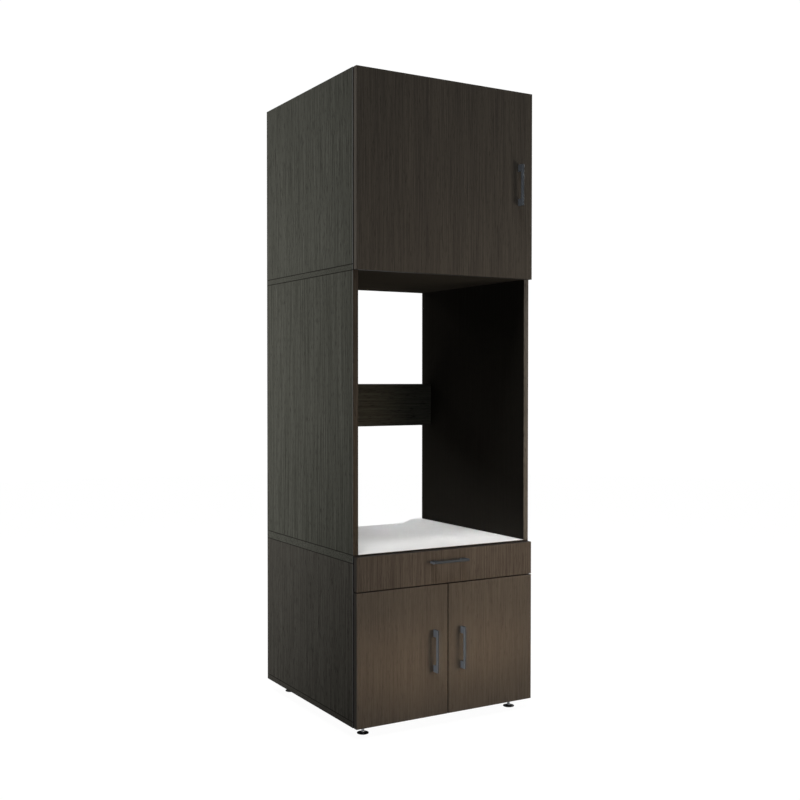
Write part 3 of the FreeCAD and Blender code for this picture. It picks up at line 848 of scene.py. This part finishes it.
@dataclass
class Door:
    """A hinged door with its handle, hinge cups, handle screws and bumpers."""

    name: str
    handle: str
    hinge_side: Side
    seed: float
    # Side edges in painted shade, True for the right
    dark_sides: tuple[bool, ...] = ()
    oak: WoodLaminate = FRONT_OAK
    metal: CastingWithFlankHighlight = GUNMETAL
    post_reach: float = 55 * MM
    screw: Screw = Screw(3.8 * MM, 2.0 * MM, 1.1 * MM)
    bumper_radius: float = 4 * MM
    bumper_height: float = 2 * MM
    bumper_inset: float = 11 * MM
    cup_screw_reach: float = 20.5 * MM
    cup_screw: Screw = Screw(3.3 * MM, 1.3 * MM, 0.66 * MM)
    cup_half_height: float = 25 * MM

    def build(self) -> None:
        """Dress the door and add the small pieces on its back."""
        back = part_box(self.name)[1].y
        dress(front_finish(self.oak, self.name, self.seed, self.dark_sides), self.name)
        dress(self.metal.material(), self.handle)
        cups = f"{self.name}_hinge_cups"
        dress(NICKEL.material(), cups)
        steel = ZINC.material()
        grip = middle_of(self.handle)
        head = self.screw.head()
        heads = [head.placed((grip.x, back, grip.z + rise), *ON_BACK)
                 for rise in (-self.post_reach, self.post_reach)]
        make_piece(f"{self.name}_handle_screws", heads, self.name, steel)
        cup_x, cup_back = middle_of(cups).x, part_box(cups)[1].y
        head = self.cup_screw.head()
        heads = [head.placed((cup_x, cup_back, level + rise), *ON_BACK)
                 for level in self.hinge_levels()
                 for rise in (-self.cup_screw_reach, self.cup_screw_reach)]
        make_piece(f"{self.name}_cup_screws", heads, self.name, steel)
        self.bumpers()

    def hinge_levels(self) -> Pair:
        """Heights of the door's two hinges."""
        low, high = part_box(f"{self.name}_hinge_cups")
        return low.z + self.cup_half_height, high.z - self.cup_half_height

    def bumpers(self) -> None:
        """Two domed bumpers at the corners away from the hinges."""
        low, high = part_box(self.name)
        x = low.x + self.bumper_inset
        if self.hinge_side is Side.LEFT:
            x = high.x - self.bumper_inset
        shape = dome(self.bumper_radius, self.bumper_height, count=6)
        dots = [shape.placed((x, high.y, z), *ON_BACK)
                for z in (low.z + self.bumper_inset, high.z - self.bumper_inset)]
        make_piece(f"{self.name}_bumpers", dots, self.name, BUMPER_PU.material())


@dataclass
class Hinges:
    """Arms, plates and pins on the cabinet side of the hinges, with arm covers and screws."""

    doors: list[Door]
    cover_width: float = 12 * MM
    cover_height: float = 4 * MM
    cover_wall: float = 1 * MM
    cover_bend: float = 1.8 * MM
    cover_start: float = 21 * MM
    cover_length: float = 42.5 * MM
    plate_height: float = 4.05 * MM
    wing_middle: float = 37 * MM
    wing_reach: float = 20 * MM
    wing_thickness: float = 2 * MM
    screw: Screw = Screw(3.2 * MM, 1.2 * MM, 0.7 * MM)
    adjusters: Pair = (30 * MM, 53 * MM)

    def build(self) -> None:
        """Dress the CAD nodes and add covers, plate screws and adjusting screws."""
        plated, steel = NICKEL.material(), ZINC.material()
        dress(plated, "hinge_arms", "hinge_plates", "hinge_pins")
        low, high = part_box("upper_left_side")
        front, wall = low.y, abs(high.x)
        covers, heads = [], []
        cover, head = self.cover(), self.screw.head()
        for door in self.doors:
            sign = door.hinge_side.value
            face = sign * wall
            inward = (-sign, 0, 0)
            for level in door.hinge_levels():
                start = (face - sign * self.plate_height, front + self.cover_start, level)
                covers.append(cover.placed(start, UP, inward, BACK))
                top = start[0] - sign * self.cover_height
                spots = [(top, front + reach, level) for reach in self.adjusters]
                wing = face - sign * self.wing_thickness
                spots += [(wing, front + self.wing_middle, level + rise)
                          for rise in (-self.wing_reach, self.wing_reach)]
                heads += [head.placed(spot, BACK, UP, inward) for spot in spots]
        make_piece("hinge_arm_covers", covers, "cabinet", plated)
        make_piece("hinge_screws", heads, "cabinet", steel)

    def cover(self) -> Surface:
        """U section along Z: an outer arch and an inner one, a wall apart, open at Y = 0.

        Returns:
            The closed cover.
        """
        arches = []
        for inset in (0.0, self.cover_wall):
            half, bend = self.cover_width / 2 - inset, self.cover_bend - inset
            corner = arc((half - bend, self.cover_height - inset - bend), (bend, bend), 0, 90)
            arches.append(np.concatenate([[(half, 0)], corner, corner[::-1] * (-1, 1),
                                          [(-half, 0)]]))
        outer, inner = arches
        outline = np.concatenate([outer, inner[::-1]])
        opposite = np.concatenate([inner, outer[::-1]])
        return carried(outline, (outline + opposite) / 2, self.cover_length)


@dataclass
class Drawer:
    """Drawer front and box, its roller runners and their screws and rivets."""

    seed: float = 31.0
    post_reach: float = 55 * MM
    screw: Screw = Screw(3.6 * MM, 1.8 * MM, 1.0 * MM)
    flush_screw: Screw = Screw(3.4 * MM, 0.25 * MM, 0.15 * MM)
    rivet_radius: float = 3.4 * MM
    rivet_height: float = 0.6 * MM
    web: float = 1.2 * MM
    axle_play: float = 0.4 * MM
    cabinet_screw_reaches: tuple[float, ...] = (58 * MM, 186 * MM, 314 * MM, 430 * MM)
    drawer_screw_reaches: tuple[float, ...] = (40 * MM, 230 * MM, 420 * MM)
    front_screw_reach: float = 230 * MM
    front_screw_rises: Pair = (22 * MM, 46 * MM)

    def build(self) -> None:
        """Dress the drawer and add its screws."""
        dress(front_finish(DRAWER_FRONT_OAK, "drawer_front", self.seed, (False,)), "drawer_front")
        dress(GUNMETAL.material(), "drawer_handle")
        dress(DRAWER_BOARD.material(), "drawer_left_side", "drawer_right_side",
              "drawer_inner_front", "drawer_back")
        dress(HARDBOARD.material(), "drawer_bottom")
        steel = ZINC.material()
        inner_low, inner_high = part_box("drawer_inner_front")
        grip = middle_of("drawer_handle")
        places = [(grip.x + reach, grip.z) for reach in (-self.post_reach, self.post_reach)]
        places += [(x, inner_low.z + rise)
                   for x in (-self.front_screw_reach, self.front_screw_reach)
                   for rise in self.front_screw_rises]
        head = self.screw.head()
        heads = [head.placed((x, inner_high.y, z), *ON_BACK) for x, z in places]
        make_piece("drawer_front_screws", heads, "drawer", steel)
        self.runners(steel)

    def runners(self, steel: Material) -> None:
        """Dress the runners and rollers, and add screws and rivets.

        Args:
            steel: finish of the small steel pieces.
        """
        coat, nylon = RUNNER_COAT.material(), NYLON.material()
        flush = self.flush_screw.head()
        rivet = dome(self.rivet_radius, self.rivet_height)
        screws = {"cabinet": [], "drawer": []}
        rivets = {"front": [], "rear": []}
        for side in Side:
            word, sign = side.name.lower(), side.value
            inward, outward = (-sign, 0, 0), (sign, 0, 0)
            dress(coat, *(f"{owner}_runner_{word}" for owner in screws))
            dress(nylon, *(f"{end}_roller_{word}" for end in rivets))
            low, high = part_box(f"cabinet_runner_{word}")
            x = (low.x if side is Side.LEFT else high.x) - sign * self.web
            screws["cabinet"] += [
                flush.placed((x, low.y + reach, (low.z + high.z) / 2), BACK, UP, inward)
                for reach in self.cabinet_screw_reaches]
            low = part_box(f"drawer_runner_{word}")[0]
            x = middle_of(f"drawer_{word}_side").x
            screws["drawer"] += [
                flush.placed((x, low.y + reach, low.z), RIGHT, FRONT, DOWN)
                for reach in self.drawer_screw_reaches]
            for end, out in zip(rivets, (inward, outward)):
                low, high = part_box(f"{end}_roller_{word}")
                face = low.x if out[0] < 0 else high.x
                axle = (low + high) / 2
                axle.x = face + out[0] * self.axle_play
                rivets[end].append(rivet.placed(axle, BACK, UP, out))
        dress(steel, *(f"{end}_roller_axles" for end in rivets))
        for owner, heads in screws.items():
            make_piece(f"{owner}_runner_screws", heads, owner, steel)
        for owner, end in zip(screws, rivets):
            make_piece(f"{end}_roller_rivets", rivets[end], owner, steel)


@dataclass
class Feet:
    """Four levelling feet: moulded pad, threaded stud, and a flanged nut under the cabinet."""

    corners: Names = ("front_left", "front_right", "back_left", "back_right")
    rim_height: float = 2.5 * MM
    rim_round: float = 1.1 * MM
    hub_radius: float = 7.5 * MM
    hub_round: float = 0.7 * MM
    crown: float = 0.5 * MM
    thread_depth: float = 0.55 * MM
    thread_pitch: float = 1.5 * MM
    thread_columns: int = 24
    thread_rows: int = 6
    nut_radius: float = 10 * MM
    nut_bore: float = 5.3 * MM
    nut_height: float = 1.2 * MM
    nut_round: float = 0.4 * MM

    def build(self) -> None:
        """Make the pads, studs and flanged nuts."""
        plastic, steel = BLACK_PP.material(), ZINC.material()
        bore, rim, height = self.nut_bore, self.nut_radius, self.nut_height
        profile = [(bore, 0), (rim, 0), (rim, height - self.nut_round),
                   (rim - self.nut_round, height), (bore, height), (bore, 0)]
        nut = lathe(np.array(profile), segments=40)
        nuts = []
        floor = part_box("base_bottom_board")[0].z
        for corner in self.corners:
            body = f"foot_{corner}"
            low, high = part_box(f"foot_pad_{corner}")
            x, y, _ = (low + high) / 2
            profile = self.pad_profile((high.x - low.x) / 2, high.z - low.z)
            pad = lathe(profile, segments=48).placed((x, y, low.z), RIGHT, BACK, UP)
            make_piece(f"foot_pad_{corner}_moulded", [pad], body, plastic,
                       (f"foot_pad_{corner}",), sharp=50.0)
            low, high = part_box(f"foot_stud_{corner}")
            rod = self.thread((high.x - low.x) / 2, high.z - low.z)
            make_piece(f"foot_stud_{corner}_thread", [rod.placed((x, y, low.z), RIGHT, BACK, UP)],
                       body, steel, (f"foot_stud_{corner}",), sharp=60.0)
            nuts.append(nut.placed((x, y, floor), RIGHT, FRONT, DOWN))
        make_piece("foot_flange_nuts", nuts, "cabinet", steel)

    def pad_profile(self, radius: float, height: float) -> np.ndarray:
        """Profile of the pad: a rim rounded top and bottom, a low crown, and a rounded hub.

        Args:
            radius: outer radius of the pad.
            height: height of the hub.

        Returns:
            Radius and height of each point, from the floor's middle to the hub's middle.
        """
        rim, hub = self.rim_round, self.hub_round
        inner, foot = radius - rim, self.rim_height + self.crown
        under = arc((inner, rim), (rim, rim), -90, 0)
        over = arc((inner, self.rim_height - rim), (rim, rim), 0, 90)
        neck = arc((self.hub_radius + hub, foot + hub), (hub, hub), 270, 180, count=4)
        top = arc((self.hub_radius - hub, height - hub), (hub, hub), 0, 90, count=4)
        return np.concatenate([[(0, 0)], under, over, neck, top, [(0, height)]])

    def thread(self, radius: float, length: float) -> Surface:
        """Threaded rod along Z: its radius falls by the depth along a helix, as a triangle wave.

        At height z and angle a the wave's place is z / pitch - a / 2 pi, and the radius is the
        outer one less depth times the distance to the nearest crest. The ends taper over one
        pitch.

        Args:
            radius: outer radius.
            length: length of the rod.

        Returns:
            The closed rod.
        """
        rows = int(length / self.thread_pitch * self.thread_rows) + 1
        level = np.linspace(0.0, length, rows)[:, None]
        angle = np.linspace(0.0, 2 * np.pi, self.thread_columns, endpoint=False)[None, :]
        wave = np.abs(2 * np.mod(level / self.thread_pitch - angle / (2 * np.pi), 1.0) - 1)
        taper = np.clip(1 - np.minimum(level, length - level) / self.thread_pitch, 0.0, 1.0)
        reach = radius - self.thread_depth * np.maximum(wave, taper)
        rod = np.stack([reach * np.cos(angle), reach * np.sin(angle),
                        np.broadcast_to(level, reach.shape)], axis=-1)
        return ring_grid(np.concatenate([rod[:1] * (0, 0, 1), rod, rod[-1:] * (0, 0, 1)]))


@dataclass
class SoftBox:
    """One soft lamp, round without a height: its place, target, size, power and colour."""

    name: str
    place: Triple
    target: Triple
    size: float
    power: float
    colour: str = "#ffffff"
    spread: float = 180.0
    height: float = 0.0

    def build(self) -> None:
        """Make the lamp."""
        lamp = bpy.data.lights.new(self.name, "AREA")
        lamp.shape = "RECTANGLE" if self.height else "DISK"
        lamp.size = self.size
        lamp.size_y = self.height or self.size
        lamp.energy = self.power
        lamp.spread = math.radians(self.spread)
        lamp.color = linear(self.colour)[:3]
        stand = put_in_scene(self.name, lamp)
        stand.location = self.place
        aim = Vector(self.target) - Vector(self.place)
        stand.rotation_euler = aim.to_track_quat("-Z", "Y").to_euler()
        stand.visible_camera = False


@dataclass
class Studio:
    """Plain pale floor and background, soft lamps, and the camera of the photograph."""

    floor_radius: float = 9.0
    floor_paint: str = "#a8a8a6"
    floor_glow: float = 1.1
    floor_shadow_share: float = 0.12
    ambient: float = 0.03
    white: float = 1.02
    sun_strength: float = 2.1
    sun_angle: float = 18.0
    sun_from: Triple = (-0.15, -0.26, 0.955)
    camera_place: Triple = (-1.84591, -3.15723, 1.07497)
    yaw: float = 30.466065
    pitch: float = 1.022108
    roll: float = 0.023376
    lens: float = 48.826
    sensor: float = 36.0
    lamps: tuple[SoftBox, ...] = (
        SoftBox("right_front_softbox", (1.3, -1.6, 1.0), (0.15, -0.32, 1.45), 0.6, 4.6, "#fff6ec",
                spread=110.0),
        SoftBox("low_front_softbox", (0.75, -1.75, 0.35), (0.1, -0.32, 0.55), 0.5, 2.1, "#ffe4c6",
                spread=66.0),
        SoftBox("low_front_strip", (1.1, -1.7, 0.24), (-0.26, -0.32, 0.2), 0.8, 0.27, "#ffe0be",
                spread=12.0, height=0.1),
        SoftBox("left_softbox", (-2.34, 0.25, 0.63), (-0.326, 4.0, 3.6), 0.8, 93.0),
        SoftBox("back_softbox", (0.1, 3.0, 2.6), (0.0, 0.3, 0.9), 1.0, 72.0),
        SoftBox("back_left_softbox", (-0.55, 2.2, 1.5), (0.2, 0.12, 0.545), 0.3, 0.34,
                spread=13.0),
        SoftBox("right_softbox", (2.6, 0.2, 2.0), (0.33, 0.0, 1.1), 1.2, 55.0),
    )

    def build(self) -> None:
        """Set up the floor, the background, the lamps and the camera."""
        self.background()
        self.floor()
        for lamp in self.lamps:
            lamp.build()
        self.sun()
        self.camera()
        bpy.context.scene.view_settings.view_transform = "Standard"

    @staticmethod
    def seen(tree: Tree) -> Socket:
        """Share of a ray that looks at the background, directly, mirrored or through glass.

        Args:
            tree: nodes of the floor or the world.

        Returns:
            1 for a camera, glossy or transmission ray, and 0 for others.
        """
        path = add_node(tree, "LightPath")
        mirrored = work_out("MAXIMUM", path.outputs["Is Glossy Ray"],
                            path.outputs["Is Transmission Ray"])
        return work_out("MAXIMUM", path.outputs["Is Camera Ray"], mirrored)

    def background(self) -> None:
        """White where it is seen, and a plain grey light on the object."""
        world = bpy.data.worlds.new("studio")
        world.use_nodes = True
        bpy.context.scene.world = world
        tree = world.node_tree
        tree.nodes.clear()
        light, white = (add_node(tree, "Background", {"Color": WHITE, "Strength": share})
                        for share in (self.ambient, self.white))
        mix = add_node(tree, "MixShader", {
            0: self.seen(tree), 1: light.outputs[0], 2: white.outputs[0]})
        add_node(tree, "OutputWorld", {"Surface": mix.outputs[0]})

    def floor(self) -> None:
        """Pale floor that keeps a soft shadow of the object."""
        mesh = bpy.data.meshes.new("studio_floor")
        disc = lathe(np.array([(0, 0), (self.floor_radius, 0)]), segments=96)
        mesh.from_pydata(disc.points.tolist(), [], disc.quads.tolist())
        mesh.validate()
        paint = bpy.data.materials.new("studio_floor_paint")
        paint.use_nodes = True
        tree = paint.node_tree
        tree.nodes.clear()
        matt = add_node(tree, "BsdfDiffuse", {"Color": linear(self.floor_paint)})
        white = add_node(tree, "Emission", {"Color": WHITE, "Strength": self.floor_glow})
        share = work_out("MULTIPLY", self.seen(tree), 1.0 - self.floor_shadow_share)
        mix = add_node(tree, "MixShader", {
            0: share, 1: matt.outputs[0], 2: white.outputs[0]})
        add_node(tree, "OutputMaterial", {"Surface": mix.outputs[0]})
        mesh.materials.append(paint)
        floor = put_in_scene("studio_floor", mesh)

    def sun(self) -> None:
        """High soft light from the front, which reaches the front half of the deck."""
        light = bpy.data.lights.new("high_front_light", "SUN")
        light.energy = self.sun_strength
        light.angle = math.radians(self.sun_angle)
        stand = put_in_scene("high_front_light", light)
        stand.rotation_euler = (-Vector(self.sun_from)).to_track_quat("-Z", "Y").to_euler()

    def camera(self) -> None:
        """Camera at the photograph's place: yaw from +Y towards +X, then pitch down, then roll."""
        yaw, pitch, roll = (math.radians(angle) for angle in (self.yaw, self.pitch, self.roll))
        turn = Matrix.Rotation(-yaw, 4, "Z") @ Matrix.Rotation(math.pi / 2 - pitch, 4, "X")
        data = bpy.data.cameras.new("photo_camera")
        data.lens = self.lens
        data.sensor_width = self.sensor
        data.sensor_fit = "HORIZONTAL"
        camera = put_in_scene("photo_camera", data)
        camera.matrix_world = (Matrix.Translation(self.camera_place) @ turn
                               @ Matrix.Rotation(roll, 4, "Z"))
        bpy.context.scene.camera = camera


def main() -> None:
    """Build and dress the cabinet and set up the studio."""
    logging.basicConfig(level=logging.INFO, format="%(message)s")
    doors = [Door("upper_door", "upper_door_handle", Side.LEFT, 5.3, (), SHADED_UPPER_FRONT_OAK,
                  GUNMETAL_DIM_HIGHLIGHT),
             Door("lower_left_door", "lower_left_handle", Side.LEFT, 11.9, (False, True)),
             Door("lower_right_door", "lower_right_handle", Side.RIGHT, 23.1, (False,))]
    Carcass().build()
    for door in doors:
        door.build()
    Hinges(doors).build()
    Drawer().build()
    Feet().build()
    Studio().build()


if __name__ == "__main__":
    main()
